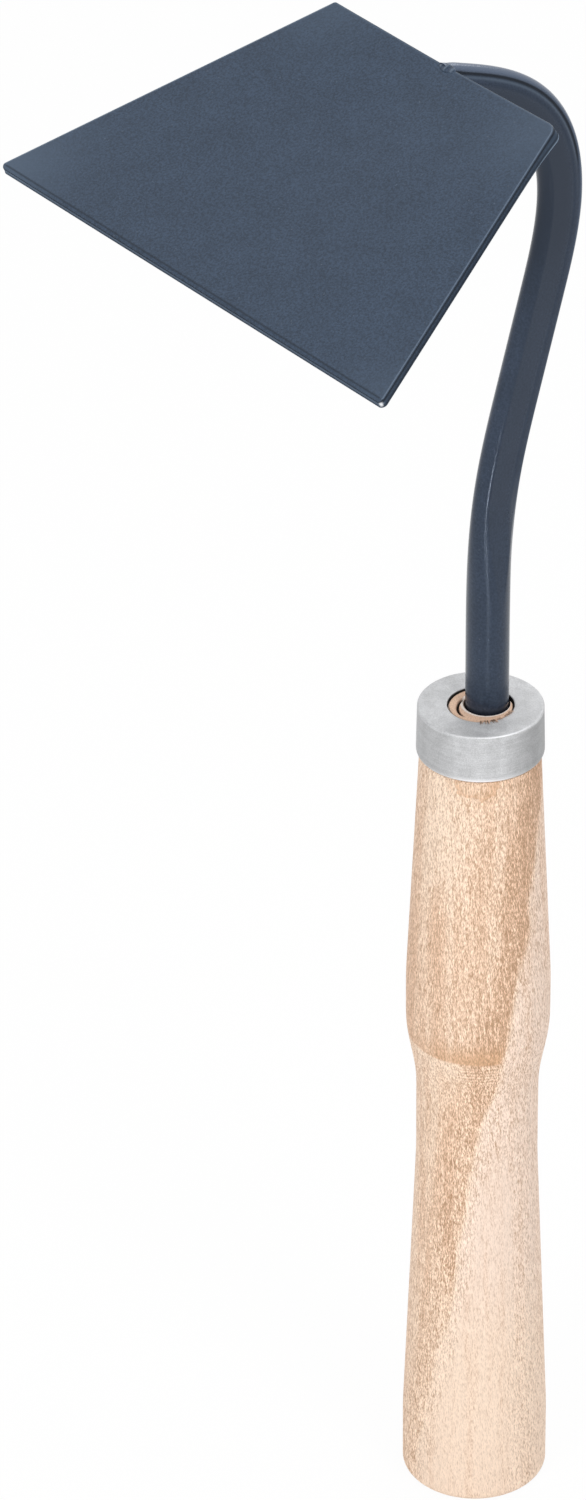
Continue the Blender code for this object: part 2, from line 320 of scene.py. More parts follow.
class Number:
    """A number that differs from point to point. Arithmetic with it adds nodes to its material."""

    def __init__(self, finish, socket):
        self.finish = finish
        self.socket = socket

    def maths(self, operation, *values):
        inputs = dict(enumerate(values))
        return Number(self.finish, add_node(self.finish.tree, "Math", inputs, operation=operation).outputs[0])

    def __add__(self, other):
        return self.maths("ADD", self, other)

    def __sub__(self, other):
        return self.maths("SUBTRACT", self, other)

    def __rsub__(self, other):
        return self.maths("SUBTRACT", other, self)

    def __mul__(self, other):
        return self.maths("MULTIPLY", self, other)

    def __abs__(self):
        return self.maths("ABSOLUTE", self)

    __radd__ = __add__
    __rmul__ = __mul__

    def sine(self):
        return self.maths("SINE", self)

    def highest(self, other):
        return self.maths("MAXIMUM", self, other)

    def below(self, limit):
        return self.maths("LESS_THAN", self, limit)

    def between(self, first, second):
        """The first value where this number is 0 and the second where it is 1."""
        return first + (second - first) * self

    def ramp(self, low, high, start=0.0, end=1.0):
        """Goes smoothly from start, where the number is low, to end, where it is high."""
        inputs = {"Value": self, "From Min": low, "From Max": high, "To Min": start, "To Max": end}
        node = add_node(self.finish.tree, "MapRange", inputs, interpolation_type="SMOOTHSTEP")
        return Number(self.finish, node.outputs["Result"])


class Finish:
    """One material. Its methods add nodes and return a Number, or the socket of a place or a colour."""

    def __init__(self, name):
        self.material = bpy.data.materials.new(name)
        self.material.use_nodes = True
        self.tree = self.material.node_tree
        self.shader = self.tree.nodes["Principled BSDF"]
        self.place = self.node("TexCoord", {}).outputs["Object"]

    def node(self, kind, inputs, **settings):
        return add_node(self.tree, kind, inputs, **settings)

    def field(self, name):
        return Number(self, self.node("Attribute", {}, attribute_name=name).outputs["Fac"])

    def along(self, direction):
        """How far a point lies along a direction: their dot product."""
        node = self.node("VectorMath", {0: self.place, 1: tuple(direction)}, operation="DOT_PRODUCT")
        return Number(self, node.outputs["Value"])

    def radius(self, place):
        """How far a place lies from its origin."""
        return Number(self, self.node("VectorMath", {0: place}, operation="LENGTH").outputs["Value"])

    def stretched(self, scale, place=None, origin=(0.0, 0.0, 0.0)):
        """The place measured from an origin and scaled along X, Y and Z."""
        shift = tuple(-o * s for o, s in zip(origin, scale))
        node = self.node("Mapping", {"Vector": place or self.place, "Scale": scale, "Location": shift})
        return node.outputs["Vector"]

    def slanted(self, height, lengthwise, rate):
        """The place turned about the axis by rate times its height, which slants a grain like a screw's
        thread, and scaled along the axis."""
        inputs = {"Vector": self.place, "Angle": height * rate}
        node = self.node("VectorRotate", inputs, rotation_type="Z_AXIS")
        return self.stretched((1.0, 1.0, lengthwise), node.outputs["Vector"])

    def noise(self, place, scale, detail=2.0, roughness=0.5):
        inputs = {"Vector": place, "Scale": scale, "Detail": detail, "Roughness": roughness}
        return Number(self, self.node("TexNoise", inputs).outputs["Fac"])

    def ovals(self, place, scale, size, share):
        """1 inside small soft ovals: one in the middle of each cell of a scatter, kept in a share of them."""
        cells = self.node("TexVoronoi", {"Vector": place, "Scale": scale})
        parts = self.node("SeparateColor", {"Color": cells.outputs["Color"]})
        kept = Number(self, parts.outputs["Red"]).below(share)
        return Number(self, cells.outputs["Distance"]).ramp(0.4 * size, size, 1.0, 0.0) * kept

    def mixed(self, share, first, second):
        """The first colour where share is 0 and the second where it is 1."""
        first, second = ((*value, 1.0) if isinstance(value, tuple) else value for value in (first, second))
        return self.node("Mix", {0: share, 6: first, 7: second}, data_type="RGBA").outputs[2]

    def scaled(self, colour, factor):
        """The colour times a factor."""
        return self.node("VectorMath", {0: colour, "Scale": factor}, operation="SCALE").outputs["Vector"]

    def bump(self, height, strength, distance=0.00010):
        """Roughens the surface by height, over a tenth of a millimetre or so."""
        node = self.node("Bump", {"Height": height, "Strength": strength, "Distance": distance})
        join(self.tree, node.outputs["Normal"], self.shader.inputs["Normal"])

    def settle(self, colour, roughness, **constants):
        """Joins the colour and roughness to the shader, writes its constants and returns the material."""
        join(self.tree, colour, self.shader.inputs["Base Color"])
        join(self.tree, roughness, self.shader.inputs["Roughness"])
        for name, value in constants.items():
            self.shader.inputs[name.replace("_", " ")].default_value = value
        return self.material


def wood_figure(finish, sideways, height):
    """How tan, amber and pink the wood is (0 to 1 each), from slanting growth rings that the turning cuts.

    Tan lies on one side of a slanting line and is darkest beside it. Amber is a dark arc where the swelling
    ends. Below that arc the tan begins again as a wedge that fades towards the butt. Also returned are how
    calm the flecks are, and how strong they are beside the line."""
    above_arc = height - ARC_HEIGHT
    # The line is where ring is 0. It lies farther right on the swelling, and again near the butt.
    wander = 0.007 * finish.noise(finish.stretched((1.0, 1.0, 0.3)), 60.0, 3.0)
    bulge = height.ramp(0.1050, 0.1190, 0.0, 0.0025) * height.ramp(0.1680, 0.1560)
    foot = height.ramp(0.078, 0.060, 0.0, 0.0018)
    ring = sideways - LINE_SLANT * height + wander + LINE_PLACE - bulge - foot
    left_of = ring.ramp(-0.0010, 0.0006, 1.0, 0.0)
    # Tan over the arc, with a pale and a tan streak towards the left
    over = above_arc.ramp(-0.0004, 0.0004)
    pale_streak = abs(sideways + 0.0085).ramp(0.0022, 0.0058, -0.34, 0.0) * height.ramp(0.155, 0.185)
    tan_streak = abs(sideways + 0.0092).ramp(0.0004, 0.0028, 0.28, 0.0)
    left_side = sideways.ramp(-0.0145, -0.0105, 0.16, 0.0)
    high = (0.31 + ring.ramp(-0.0085, -0.0040, 0.0, 0.58) + pale_streak
            + (tan_streak + left_side) * height.ramp(0.180, 0.160))
    # The wedge under the arc begins at the arc on its right and lower down on its left
    wedge = ring.ramp(-0.0110, -0.0050, 0.25, 0.58) * height.ramp(0.040, 0.080, 0.50, 1.0)
    begun = above_arc.ramp(-0.0012, -0.0077).highest(sideways.ramp(-0.008, -0.003))
    wedge = wedge * begun.ramp(0.0, 1.0, 0.3, 1.0)
    tan = high * over + wedge * (1.0 - over)
    # The amber arc, and an amber patch just under the ferrule with a fainter arc round it
    amber = above_arc.ramp(0.0011, 0.0073, 1.0, 0.0) * over * sideways.ramp(-0.016, -0.003, 0.25, 1.0)
    ferrule_patch = finish.radius(finish.stretched((210.0, 210.0, 250.0), origin=FERRULE_PATCH))
    ferrule_patch = ferrule_patch + finish.noise(finish.place, 500.0).ramp(0.3, 0.7, -0.22, 0.22)
    outer = ferrule_patch.ramp(1.15, 1.40) * ferrule_patch.ramp(1.42, 1.55, 0.34, 0.0)
    amber = amber.highest(ferrule_patch.ramp(0.35, 0.90, 0.30, 0.80) * ferrule_patch.ramp(0.92, 1.12, 1.0, 0.0) + outer)
    # Streaks along the grain, and fine rings of growth that lie close together on the slope under the arc
    streaks = finish.noise(finish.stretched((1.0, 1.0, 0.06)), 300.0, 3.0)
    slope = above_arc.ramp(-0.0077, -0.0042) * above_arc.ramp(-0.0012, -0.0002, 1.0, 0.0)
    slope = slope * sideways.ramp(-0.0060, -0.0040) * left_of
    tan = left_of.between(height.ramp(0.110, 0.160, 0.0, 0.14), tan) + streaks.ramp(0.34, 0.66, -0.11, 0.13)
    tan = tan + 0.24 * (SLOPE_RINGS * height).sine() * slope + 0.03 * (GROWTH_RINGS * ring).sine()
    pink = ring.ramp(-0.0005, 0.0015) * height.ramp(0.035, 0.075, 0.25, 1.0)
    calm = (ring.ramp(0.0010, 0.0050) * height.ramp(0.085, 0.105, 1.0, 0.0)
            * sideways.ramp(0.0060, 0.0100, 1.0, 0.2))
    strong = ring.ramp(-0.0090, -0.0030) * left_of
    return tan, amber * left_of, pink, calm, strong


def wood_finish():
    """Pale turned beech: broad tan and pink zones, growth lines, short flecks along the grain."""
    c = colours()
    finish = Finish("turned_beech")
    height = finish.along(UP)
    tan, amber, pink, calm, strong = wood_figure(finish, finish.along(SIDEWAYS), height)
    # Long fibres, short flecks in two slants and small dark rays
    fibres = finish.noise(finish.slanted(height, 0.09, 4.0), 2800.0, 2.0, 0.7)
    grain = finish.noise(finish.slanted(height, 0.20, 11.0), 4100.0, 2.0, 0.65)
    cross = finish.noise(finish.slanted(height, 0.24, -8.0), 5200.0, 2.0, 0.65)
    rays = finish.ovals(finish.slanted(height, 0.32, -9.0), 1600.0, 0.28, 0.60)
    both = 0.5 * (grain + cross)
    force = calm.ramp(0.0, 1.0, 1.0, 0.48)
    swing = (both.ramp(0.38, 0.62, 1.35, -1.35) + fibres.ramp(0.35, 0.65, 0.55, -0.55)) * force
    # How far the wood goes from its ground colour to tan and on to brown
    share = swing * strong.ramp(0.0, 1.0, 0.24, 0.42) + tan
    colour = finish.mixed(pink, tuple(c.wood_pale), tuple(c.wood_pink))
    colour = finish.mixed(share.ramp(-0.05, 0.52), colour, tuple(c.wood_tan))
    colour = finish.mixed(share.ramp(0.46, 1.05), colour, tuple(c.wood_brown))
    colour = finish.mixed(0.85 * amber, colour, WOOD_AMBER)
    colour = finish.scaled(colour, 1.02 - 0.14 * swing)
    colour = finish.mixed(swing.ramp(0.0, 1.4, 0.0, 0.30), colour, WOOD_FLECK)
    colour = finish.mixed(rays * strong.ramp(0.0, 1.0, 0.26, 0.72) * force, colour, WOOD_RAY)
    # The boss of end grain, and painted shade in its split, at its thin low edge and in the bore, whose dark
    # colour also darkens most torn fibres
    end_grain = finish.scaled(END_GRAIN, both.ramp(0.36, 0.64, 0.82, 1.18))
    colour = finish.mixed(finish.field("cut_face"), colour, end_grain)
    colour = finish.mixed(finish.field("cut_rim"), colour, CUT_RIM)
    colour = finish.mixed(finish.field("shade_and_dark_fibres"), colour, SHADE_AND_FIBRE_DARK)
    finish.bump(both, 0.25, 0.00012)
    return finish.settle(colour, both.ramp(0.35, 0.65, 0.66, 0.56), Specular_IOR_Level=0.25)


def zinc_finish():
    """Dull zinc plate: fine lines that run round it, a faint cloudiness and small dark pits.

    Painted shade darkens the skirt's two sides and the hole's wall, and painted highlights lie along the lip
    and over the rim.
    """
    finish = Finish("zinc_plate")
    around = finish.noise(finish.stretched((0.04, 0.04, 1.0)), 2600.0, 3.0, 0.6)
    bands = finish.noise(finish.stretched((1.0, 1.0, 0.03)), 260.0)
    cloud = finish.noise(finish.place, 420.0, 3.0)
    grain = finish.noise(finish.place, 3800.0, 1.0)
    pits = finish.noise(finish.place, 1900.0, 1.0).ramp(0.70, 0.78)
    tone = cloud.ramp(0.3, 0.7, 0.93, 1.06) + grain.ramp(0.3, 0.7, -0.10, 0.10)
    tone = tone * around.ramp(0.3, 0.7, 0.94, 1.06) * bands.ramp(0.35, 0.65, 0.96, 1.04)
    # Painted shade: the skirt is darker than the top at its two sides
    sideways = finish.along(SIDEWAYS)
    skirt = finish.along(UP).ramp(TOP_HEIGHT - 0.0010, TOP_HEIGHT - 0.0004, 1.0, 0.0)
    dull = sideways.ramp(-0.012, -0.004, 0.20, 0.0) + sideways.ramp(0.004, 0.012, 0.0, 0.36)
    colour = finish.scaled(tuple(colours().zinc), tone * (1.0 - dull * skirt))
    colour = finish.mixed(0.35 * pits, colour, ZINC_PIT)
    # Painted highlight along the lip's front and over the rim
    colour = finish.mixed(finish.field("lip_highlight"), colour, ZINC_HIGHLIGHT)
    # Painted shade on the wall of the hole
    colour = finish.mixed(finish.field("hole_wall_shade"), colour, HOLE_SHADE)
    finish.bump(around + 0.6 * grain, 0.22)
    return finish.settle(colour, cloud.ramp(0.3, 0.7, 0.46, 0.56), Metallic=0.35)


def paint_finish(name, base, edges, gloss=0.0, mottled=0.32):
    """Satin paint: a fine mottle, scattered light specks and an orange peel.

    Edges gives a colour for each field, gloss makes the paint smoother, and mottled is how far its tone
    swings. The field dull roughens it."""
    finish = Finish(name)
    mottle = finish.noise(finish.place, 1900.0, 2.0, 0.7)
    cloud = finish.noise(finish.place, 130.0, 3.0)
    specks = finish.noise(finish.place, 1500.0, 1.0).ramp(0.73, 0.80)
    peel = finish.noise(finish.place, 1700.0, 1.0)
    tone = mottle.ramp(0.3, 0.7, 1.0 - mottled, 1.0 + mottled) * cloud.ramp(0.3, 0.7, 0.94, 1.06)
    colour = finish.mixed(0.22 * specks, finish.scaled(base, tone), PAINT_SPECK)
    for edge, edge_colour in edges.items():
        colour = finish.mixed(0.9 * finish.field(edge), colour, edge_colour)
    finish.bump(peel + 0.5 * mottle, 0.10)
    rough = finish.field("dull").between(mottle.ramp(0.3, 0.7, 0.30 - gloss, 0.38 - gloss), 0.85)
    return finish.settle(colour, rough, Specular_IOR_Level=0.34, Specular_Tint=(0.72, 0.84, 1.0, 1.0))


def handle_side(s):
    """The handle's outline (radius, height): a straight flare, a plain waist, an eased swelling up to the
    collar and a straight taper to the shoulder, with the corners between them rounded off."""
    top = SHOULDER_HEIGHT - GAP
    height = np.arange(BUTT_ROUNDING, top - 0.0004, 0.0012)
    flare = np.clip((height - FLARE[0]) / (FLARE[1] - FLARE[0]), 0.0, 1.0)
    taper = np.clip((height - TAPER_START) / (top - TAPER_START), 0.0, 1.0)
    radius = (s.butt_radius - (s.butt_radius - s.waist_radius) * flare
              + (s.collar_radius - s.waist_radius) * eased(*SWELLING, height)
              - (s.collar_radius - s.shoulder_radius) * taper)
    weights = np.array([1.0, 6.0, 15.0, 20.0, 15.0, 6.0, 1.0]) / 64.0
    radius = np.convolve(np.pad(radius, 3, mode="edge"), weights, mode="valid")
    return np.stack([radius, height], axis=1)


def boss_rows(s, columns):
    """The end grain boss round the rod: rings that go from its outer circle to the bore's circle, with both
    the centre and the radius changing evenly. It lies low where it is thin, and a split runs down into it.

    Returns the rings, how split and how sunk they are, and how far in each ring lies (0 to 1)."""
    circle = turned([(1.0, 0.0)], columns)[0]
    clearance = 0.00033
    outer = -0.0001 * SIDEWAYS - 0.0002 * AWAY + circle * (s.hole_radius - clearance)
    front = np.clip(-(circle @ AWAY), 0.0, 1.0)
    rod = np.array([0.0, s.bar_offset, 0.0])
    bore = rod - AWAY * 0.00005 + circle * (BOSS_BORE_RADIUS + 0.00012 * front[:, None] ** 2)
    share = np.concatenate([[0.0], 0.02 + 0.96 * np.linspace(0.0, 1.0, 40), [1.0]])
    rings = outer * (1.0 - share)[:, None, None] + bore * share[:, None, None]
    crown = -0.00045 * (1.0 - eased(0.0, 0.10, share)) - 0.00030 * eased(0.93, 1.0, share)
    thin = 1.0 - eased(0.00035, 0.00110, np.linalg.norm(outer - bore, axis=1))
    # The split follows an arc and fades at its two ends, which are angles in degrees
    across, depth = rings @ SIDEWAYS - SPLIT_MIDDLE[0], rings @ AWAY - SPLIT_MIDDLE[1]
    turn = np.degrees(np.arctan2(depth, across)) % 360.0
    ends = eased(134.0, 150.0, turn) * (1.0 - eased(206.0, 224.0, turn))
    split = bell(np.hypot(across, depth), SPLIT_RADIUS, 0.00010 + 0.00016 * ends) * ends
    rings[:, :, 2] = TOP_HEIGHT - BOSS_LOW + crown[:, None] - BOSS_SUNK * thin - SPLIT_DEPTH * split
    return rings, split, np.broadcast_to(thin, split.shape), share


def handle_shell(s):
    """Rings about the axis up the side and over the shoulder, then in over the boss and down the bore.

    Its fields say where the end grain is cut across, where the boss has a light rim, and where painted shade
    darkens the edge under the hole, the split, the boss's thin low edge and the bore."""
    columns = 288
    butt = line((0.0004, 0.0), (s.butt_radius - BUTT_ROUNDING, 0.0), 9)
    edge = arc((s.butt_radius - BUTT_ROUNDING, BUTT_ROUNDING), BUTT_ROUNDING, -math.pi / 2, 0.0, 9)[1:-1]
    shoulder = SHOULDER_HEIGHT - GAP
    tenon = s.ferrule_radius - s.ferrule_wall - GAP
    seat = TOP_HEIGHT - s.ferrule_wall - GAP
    lip = arc((s.shoulder_radius - 0.0004, shoulder - 0.0004), 0.0004, 0.0, math.pi / 2, 4)
    inner = line((tenon, shoulder), (tenon, seat), 3)
    outline = np.concatenate([butt, edge, handle_side(s), lip, inner, [(s.hole_radius - GAP, seat)]])
    top, split, sunk, share = boss_rows(s, columns)
    wide, narrow = s.bar_radius + GAP, TANG_TIP_RADIUS + GAP
    tang_end = TOP_HEIGHT - TANG_STRAIGHT - TANG_TAPER
    bore = turned([
        (BOSS_BORE_RADIUS, TOP_HEIGHT - 0.002), (wide, TOP_HEIGHT - 0.006),
        (wide, TOP_HEIGHT - TANG_STRAIGHT), (narrow, tang_end), (narrow, tang_end - BORE_END_SPACE),
    ], columns)
    bore[:, :, 1] += s.bar_offset
    grid = np.concatenate([turned(outline, columns), top, bore])
    start = len(outline)
    end = start + len(top)
    cut_face, cut_rim, dark = np.zeros((3, len(grid), columns))
    cut_face[start - 1:] = 1.0
    cut_rim[start:end] = np.maximum(
        eased(0.74, 0.84, share) * eased(0.99, 0.94, share), 0.5 * eased(0.10, 0.02, share))[:, None]
    # Painted shade: the ring under the hole's edge, the split, where the boss is thin and low, and the bore
    dark[start - 1] = 1.0
    dark[start:end] = np.maximum(eased(0.10, 0.50, split), eased(0.2, 0.7, sunk))
    dark[end:] = 1.0
    return capped_shell(grid), {
        "cut_face": with_poles(cut_face), "cut_rim": with_poles(cut_rim), "shade_and_dark_fibres": with_poles(dark)}


def ferrule_shell(s):
    """A profile turned about the axis: rounded lower lip, skirt, rounded rim, flat top, hole and the inside.

    Painted highlights are drawn along the lip's front and over the rim on the right, and painted shade on the
    hole's wall."""
    columns = 256
    low, high = SHOULDER_HEIGHT, TOP_HEIGHT
    bottom = s.ferrule_radius + 0.0002
    lip = 0.0009
    rounding = 0.00045
    chamfer = 0.00025
    hole = s.hole_radius
    inside = s.ferrule_radius - s.ferrule_wall
    ceiling = high - s.ferrule_wall
    parts = [
        arc((bottom - lip, low + lip), lip, -math.pi / 2, 0.0, 6),
        line((bottom, low + lip + 0.0006), (s.ferrule_radius, high - rounding - 0.0006), 12),
        arc((s.ferrule_radius - rounding, high - rounding), rounding, 0.0, math.pi / 2, 10),
        line((s.ferrule_radius - rounding - 0.0006, high), (hole + 0.0004, high), 8),
        arc((hole + chamfer, high - chamfer), chamfer, math.pi / 2, math.pi, 4),
        line((hole, high - 0.0005), (hole, ceiling), 2),
        line((hole + 0.0003, ceiling), (inside - 0.0002, ceiling), 4),
        line((inside, ceiling - 0.0002), (inside, low + 0.0001), 6),
        [(inside + 0.0001, low)],
    ]
    outline = np.concatenate(parts)
    grid = turned(outline, columns)
    row = np.arange(len(outline))
    ends = np.cumsum([len(part) for part in parts])
    hole_start = ends[3] + 3
    # Painted shade on the hole's wall
    hole_wall_shade = np.broadcast_to(eased(hole_start - 1, hole_start + 1, row)[:, None], grid.shape[:2])
    sideways = grid @ SIDEWAYS
    in_front = grid @ AWAY < 0.0
    # Painted highlights along the lip's front and over the rim on the right, on the near side only
    shine = np.interp(row, [0, 1, 5, 7], [0.0, 1.0, 1.0, 0.0])[:, None] * bell(sideways, -0.0005, 0.0075)
    shine = shine + 0.8 * bell(row, ends[1] + 5.0, 2.5)[:, None] * bell(sideways, 0.0052, 0.0060)
    fields = {"hole_wall_shade": hole_wall_shade.ravel(), "lip_highlight": (shine * in_front).ravel()}
    no_fans = np.zeros((0, 3), int)
    return (grid.reshape(-1, 3), shell_faces(len(outline), columns, closed_rows=True), no_fans), fields


def bend_rate(length, start, ease_in, hold, ease_out, angle):
    """Bend per metre: rises evenly, holds and falls evenly, and turns the bar by angle in all."""
    peak = angle / (ease_in / 2 + hold + ease_out / 2)
    marks = np.cumsum([start, ease_in, hold, ease_out])
    return np.interp(length, marks, [0.0, peak, peak, 0.0], left=0.0, right=0.0)


def neck_path(s):
    """Length along the bar from the ferrule's top, with its Y, Z and lean there. The lean is the sum of the
    bends so far, and the place is the sum of small steps along it."""
    step = 0.0001
    length = np.arange(0.0, 1.3 * SEAT_LENGTH, step)
    bend = bend_rate(length, *LEAN_BEND) - bend_rate(length, *ARCH_BEND)
    lean = np.concatenate([[0.0], np.cumsum((bend[1:] + bend[:-1]) / 2 * step)])
    middle = (lean[1:] + lean[:-1]) / 2
    y = s.bar_offset + np.concatenate([[0.0], np.cumsum(np.sin(middle) * step)])
    z = TOP_HEIGHT + np.concatenate([[0.0], np.cumsum(np.cos(middle) * step)])
    return length, y, z, lean


def on_path(path, at):
    """The bar's Y, Z and lean at given lengths."""
    length, *values = path
    return [np.interp(at, length, value) for value in values]


def bar_sections(s, length):
    """The bar's section at each length, as arrays (across, back) of a ring each, and its marks.

    An ellipse whose sides are clipped flat by the press. On its outer side each flat curves inwards a
    little to a crease, and the rounded back rises out of the crease. The marks are painted shade in the
    crease, a painted highlight on the crown, painted shade on the flats, the dull band and a painted
    highlight line on the shoulder, 0 to 1 each."""
    pressed = eased(*PRESSED, length)[:, None]
    half_depth = s.bar_radius + (s.flat_depth / 2 - s.bar_radius) * pressed
    flat_half = s.flat_depth / 2 - FLAT_CROWN
    oval_half = s.flat_width / 2 / math.sqrt(1.0 - (flat_half / (s.flat_depth / 2)) ** 2)
    half_width = s.bar_radius + (oval_half - s.bar_radius) * pressed
    side = s.bar_radius + (s.flat_width / 2 - s.bar_radius) * pressed
    corner = np.maximum(np.arccos(np.minimum(side / half_width, 1.0)), math.radians(15.0))
    back = corner + (math.pi - 2.0 * corner) * np.linspace(0.0, 1.0, 29)[:-1]
    flat = math.pi - corner + 2.0 * corner * np.linspace(0.0, 1.0, 41)[:-1]
    angles = np.concatenate([back, flat, back + math.pi, flat + math.pi], axis=1)
    across = np.clip(half_width * np.cos(angles), -side, side)
    depth = half_depth * np.sin(angles)

    def from_length(start, end):
        return eased(start, end, length)[:, None]

    arched = from_length(0.1200, 0.1325)
    inwards = eased(0.0021, flat_half, depth) * (1.0 - 0.6 * eased(flat_half, 0.0048, depth))
    across = across * (1.0 - pressed * (0.14 + 0.16 * arched) * inwards)
    # The crease is a small groove, and is painted dark along it as shade
    crease = bell(depth, flat_half, 0.00030) * from_length(0.1285, 0.1330)
    across = across - np.sign(across) * 0.00020 * crease
    # Painted light and shade: the back is painted lighter than the rest, most over the arch, and the flats
    # there darker
    wide = 0.0008 * (1.0 - arched)
    crown = eased(flat_half - wide, flat_half + 0.0005, depth) * from_length(0.015, 0.040)
    crown = crown * (0.30 + 0.70 * from_length(0.100, 0.128))
    on_flat = 0.35 * eased(0.80, 0.96, np.abs(across) / side) * from_length(0.020, 0.050)
    shade = eased(0.0034, -0.0006, depth) * np.maximum(from_length(0.092, 0.118), on_flat)
    # The narrow shoulder beside the crease is dull, and has a painted highlight line over the arch
    dull = eased(0.0010, 0.0022, depth) * eased(flat_half + 0.0006, flat_half + 0.0002, depth)
    dull = 0.75 * dull * from_length(0.045, 0.060)
    shoulder_highlight = 0.6 * bell(depth, flat_half - 0.0007, 0.00030) * from_length(0.1285, 0.1340)
    marks = np.minimum(1.5 * crease, 1.0), crown, shade, dull, shoulder_highlight
    return smoothed(across, 2), smoothed(depth, 2), np.stack(np.broadcast_arrays(*marks), axis=-1)


def bar_rings(place, across, back):
    """Rings of points: across along X, and back along the normal of the path in the Y Z plane."""
    y, z, lean = place
    return np.stack(np.broadcast_arrays(across, y + back * np.cos(lean), z - back * np.sin(lean)), axis=-1)


def plate_seat(s, path):
    """Where the plate lies: the origin at its rear edge's middle, and its outward and forward directions."""
    y, z, lean = on_path(path, SEAT_LENGTH)
    rear = np.array([0.0, y + s.flat_depth / 2 * math.cos(lean), z - s.flat_depth / 2 * math.sin(lean)])
    outward = np.array([0.0, -math.sin(s.blade_tilt), math.cos(s.blade_tilt)])
    forward = np.array([0.0, -math.cos(s.blade_tilt), -math.sin(s.blade_tilt)])
    return rear - outward * FACE_SUNK, outward, forward


def on_plate(seat, across, ahead, up):
    """Points from how far they lie across the plate, ahead of its rear edge and above its face."""
    rear, outward, forward = seat
    across, ahead, up = (np.asarray(value)[..., None] for value in (across, ahead, up))
    return rear + across * ACROSS + ahead * forward + up * outward


def neck_shell(s, path):
    """The section swept up from the tang's tip, with the last ring trimmed to the underside of the plate.

    Each point of the last rings slides back along the bar until it is just inside the plate's underside."""
    seat = rear, outward, forward = plate_seat(s, path)
    low = np.array([-TANG_STRAIGHT - TANG_TAPER, -TANG_STRAIGHT, -0.004])[:, None]
    taper = np.array([TANG_TIP_RADIUS / s.bar_radius, 1.0, 1.0])[:, None]
    across, back, _ = bar_sections(s, np.zeros(len(low)))
    tang = bar_rings((s.bar_offset, TOP_HEIGHT + low, 0.0), across * taper, back * taper)
    stations = np.arange(0.0, SEAT_LENGTH + 0.016, 0.0007)
    across, back, marks = bar_sections(s, stations)
    bar = bar_rings(on_path(path, stations[:, None]), across, back)
    # How far each column may go: to the plate's underside, and behind its rear edge to the edge itself
    height, ahead = (bar - rear) @ outward, (bar - rear) @ forward
    under = FOOT_INSIDE - s.blade_thickness
    beyond = (height > under) & (ahead > FOOT_INSIDE) & (stations[:, None] > ARCH_BEND[0] + 0.03)
    first = np.where(beyond.any(0), beyond.argmax(0), len(stations) - 1)
    index = np.arange(len(first))

    def crossing(value, limit):
        """The share of the step up to first at which value reaches the limit, 0 where it already has."""
        before, after = value[first - 1, index], value[first, index]
        return np.where(before < limit, (limit - before) / np.maximum(after - before, 1e-9), 0.0)

    part = np.clip(np.maximum(crossing(height, under), crossing(ahead, FOOT_INSIDE)), 0.0, 1.0)
    limit = stations[first - 1] + part * (stations[first] - stations[first - 1])
    start = int(np.searchsorted(stations, limit.min() - 0.0012))
    rows = 16
    spread = stations[start] + (limit - stations[start]) * np.linspace(0.0, 1.0, rows + 1)[1:, None]
    end = bar_rings(on_path(path, spread), across[-1], back[-1])
    grid = np.concatenate([tang, bar[:start + 1], end])
    # The crown sinks a little where it comes to the plate's rear edge
    height, ahead = (grid - rear) @ outward, (grid - rear) @ forward
    sink = 0.00035 * eased(-0.004, 0.0002, ahead) * eased(-0.0025, -0.0005, height)
    grid = grid - sink[:, :, None] * outward
    no_marks = np.zeros(tang.shape[:2] + marks.shape[2:])
    end_marks = np.broadcast_to(marks[-1], (rows,) + marks.shape[1:])
    marks = np.concatenate([no_marks, marks[:start + 1], end_marks])
    names = "crease", "crown", "shade", "dull", "shoulder_highlight"
    fields = {name: with_poles(marks[:, :, i]) for i, name in enumerate(names)}
    # Painted shade darkens the bar where it comes out of the boss
    fields["bar_foot_shade"] = with_poles(0.8 * eased(TOP_HEIGHT + 0.0010, TOP_HEIGHT - 0.0002, grid[:, :, 2]))
    return capped_shell(grid, on_plate(seat, 0.0, 0.0005, -0.65 * s.blade_thickness)), fields


def plate_outline(s, inset):
    """The plate's outline, from the left rear corner round: four straight sides joined by corner arcs, with
    every side moved in by inset. Sides are divided evenly, and the points keep their order at any inset."""
    slope = (s.blade_edge_width - s.blade_rear_width) / 2 / s.blade_depth
    lean = math.hypot(1.0, slope)
    rear_half = s.blade_rear_width / 2 - inset * (lean - slope)
    edge_half = s.blade_edge_width / 2 - inset * (lean + slope)
    front = s.blade_depth - inset
    corners = np.array([(-rear_half, inset), (-edge_half, front), (edge_half, front), (rear_half, inset)])
    radii = np.maximum(np.array(CORNER_RADII) - inset, 0.00015)
    before = np.roll(corners, 1, 0) - corners
    after = np.roll(corners, -1, 0) - corners
    before = before / np.linalg.norm(before, axis=1)[:, None]
    after = after / np.linalg.norm(after, axis=1)[:, None]
    half = np.arccos(np.clip((before * after).sum(1), -1.0, 1.0)) / 2
    middle = before + after
    middle = middle / np.linalg.norm(middle, axis=1)[:, None]
    centre = corners + middle * (radii / np.sin(half))[:, None]
    start = corners + before * (radii / np.tan(half))[:, None]
    end = corners + after * (radii / np.tan(half))[:, None]
    share = np.linspace(0.0, 1.0, CORNER_STEPS + 1)[None, :, None]
    spoke = (start - centre)[:, None] * (1.0 - share) + (end - centre)[:, None] * share
    spoke = spoke / np.linalg.norm(spoke, axis=2)[:, :, None] * radii[:, None, None]
    arcs = centre[:, None] + spoke
    pieces = []
    for i, steps in enumerate(SIDE_STEPS):
        share = np.linspace(0.0, 1.0, steps + 1)[1:-1, None]
        pieces += [arcs[i], end[i] * (1.0 - share) + start[(i + 1) % 4] * share]
    return np.concatenate(pieces)


